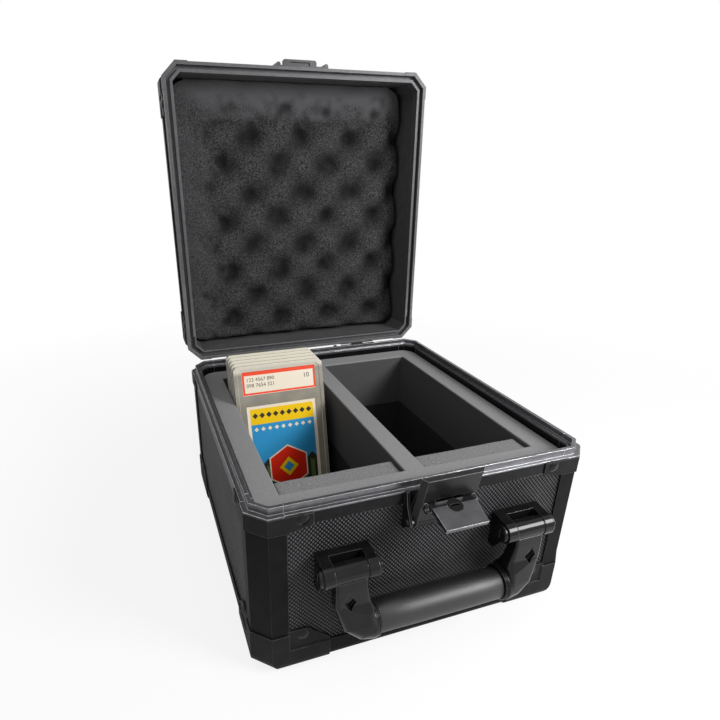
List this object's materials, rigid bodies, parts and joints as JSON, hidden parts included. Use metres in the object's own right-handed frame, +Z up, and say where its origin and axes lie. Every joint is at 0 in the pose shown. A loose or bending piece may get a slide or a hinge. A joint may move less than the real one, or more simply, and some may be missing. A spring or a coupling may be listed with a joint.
{
  "type": "trading card display case",
  "caption": "Hard carry case for graded trading cards: hinged lid with egg-crate foam, foam bays with loose spacers, key-lock hook latch, swing handle.",
  "frame": {"origin": "On the ground under the middle of the body, on the plane of its lower corner caps", "axes": "X to the right seen from the latch side, Y from the latch to the hinges, Z up"},
  "size_m": [0.255, 0.3671, 0.4039],
  "materials": {
    "black_extrusion": "black anodised aluminium, satin",
    "rim_aluminium": "dark anodised aluminium with bright worn edges",
    "diamond_panel": "black laminate embossed with small diamonds",
    "floor_board": "plain black laminate",
    "cap_metal": "black powder-coated pressed steel",
    "rivet_black": "black dome rivet heads",
    "eva_foam": "fine closed-cell foam, grey in the light",
    "sponge_foam": "open-cell sponge, coarser than the insert",
    "crate_foam": "charcoal egg-crate sponge",
    "liner_board": "smooth dark liner board",
    "hinge_steel": "black coated sheet steel",
    "pin_steel": "plain steel pins",
    "latch_black": "black satin pressed steel",
    "flap_gunmetal": "satin gunmetal plate",
    "key_black": "black key cylinder",
    "handle_gloss": "gloss black moulded plastic",
    "grip_leather": "black fine-grained soft grip",
    "slab_plastic": "clear warm-tinted slab plastic",
    "label_paper": "printed paper label, red border on cream",
    "card_board": null
  },
  "bodies": {
    "case": {"floor_panel": "floor_board", "front_panel": "diamond_panel", "back_panel": "diamond_panel", "left_panel": "diamond_panel", "right_panel": "diamond_panel", "corner_posts": "black_extrusion", "base_edges": "black_extrusion", "body_rim": "rim_aluminium", "body_rim_corners": "rim_aluminium", "top_caps": "cap_metal", "base_caps": "cap_metal", "case_rivets": "rivet_black", "foam_insert": "eva_foam", "floor_pad": "eva_foam", "hinge_body_leaves": "hinge_steel", "hinge_pins": "pin_steel", "hinge_body_rivets": "rivet_black", "latch_base": "latch_black", "latch_pin": "pin_steel", "latch_rivets": "rivet_black", "handle_bracket_left": "handle_gloss", "handle_bracket_right": "handle_gloss", "handle_pins": "pin_steel", "handle_screws": "pin_steel"},
    "lid": {"lid_top_panel": "diamond_panel", "lid_front_wall": "diamond_panel", "lid_back_wall": "diamond_panel", "lid_left_wall": "diamond_panel", "lid_right_wall": "diamond_panel", "lid_corner_posts": "black_extrusion", "lid_edges": "black_extrusion", "lid_rim": "rim_aluminium", "lid_rim_corners": "rim_aluminium", "lid_caps": "cap_metal", "lid_rivets": "rivet_black", "lid_liner": "liner_board", "eggcrate_foam": "crate_foam", "lid_catch": "latch_black", "hinge_lid_leaves": "hinge_steel"},
    "hook": {"hook_plate": "latch_black", "flap_pins": "pin_steel"},
    "flap": {"lock_flap": "flap_gunmetal"},
    "key": {"lock_cylinder": "key_black", "lock_cam": "key_black"},
    "handle": {"handle_arm_left": "handle_gloss", "handle_arm_right": "handle_gloss", "handle_grip": "grip_leather", "handle_core_bar": "pin_steel", "handle_collars": "handle_gloss"},
    "spacer_left": {"left_spacer": "sponge_foam"},
    "spacer_right": {"right_spacer": "sponge_foam"},
    "card_1": {"front_slab_shell": "slab_plastic", "front_slab_label": "label_paper", "front_slab_card": "card_board"},
    "card_2": {"slab_2": "slab_plastic"},
    "card_3": {"slab_3": "slab_plastic"},
    "card_4": {"slab_4": "slab_plastic"},
    "card_5": {"slab_5": "slab_plastic"}
  },
  "joints": [
    {"name": "lid_hinge", "type": "hinge", "parent": "case", "child": "lid", "pos_m": [0, 0.1364, 0.1284], "axis": [-1, 0, 0], "range_deg": [-91.9, 0]},
    {"name": "hook_hinge", "type": "hinge", "parent": "case", "child": "hook", "pos_m": [0, -0.1385, 0.1095], "axis": [1, 0, 0], "range_deg": [-14.5, 60]},
    {"name": "flap_hinge", "type": "hinge", "parent": "hook", "child": "flap", "pos_m": [0, -0.14803, 0.12398], "axis": [-1, 0, 0], "range_deg": [-86.4, 0]},
    {"name": "key_turn", "type": "hinge", "parent": "flap", "child": "key", "pos_m": [0, -0.15097, 0.12301], "axis": [0, -0.3107, 0.9505], "range_deg": [0, 90]},
    {"name": "handle_hinge", "type": "hinge", "parent": "case", "child": "handle", "pos_m": [0, -0.1445, 0.0875], "axis": [-1, 0, 0], "range_deg": [0, 95]},
    {"name": "spacer_left_lift", "type": "slide", "parent": "case", "child": "spacer_left", "axis": [0, 0, 1], "range_m": [0, 0.11]},
    {"name": "spacer_right_lift", "type": "slide", "parent": "case", "child": "spacer_right", "axis": [0, 0, 1], "range_m": [0, 0.11]},
    {"name": "card_1_lift", "type": "slide", "parent": "case", "child": "card_1", "axis": [0, 0.2504, 0.9681], "range_m": [0, 0.13]},
    {"name": "card_2_lift", "type": "slide", "parent": "case", "child": "card_2", "axis": [0, 0.2504, 0.9681], "range_m": [0, 0.13]},
    {"name": "card_3_lift", "type": "slide", "parent": "case", "child": "card_3", "axis": [0, 0.2504, 0.9681], "range_m": [0, 0.13]},
    {"name": "card_4_lift", "type": "slide", "parent": "case", "child": "card_4", "axis": [0, 0.2504, 0.9681], "range_m": [0, 0.13]},
    {"name": "card_5_lift", "type": "slide", "parent": "case", "child": "card_5", "axis": [0, 0.2504, 0.9681], "range_m": [0, 0.13]}
  ]
}
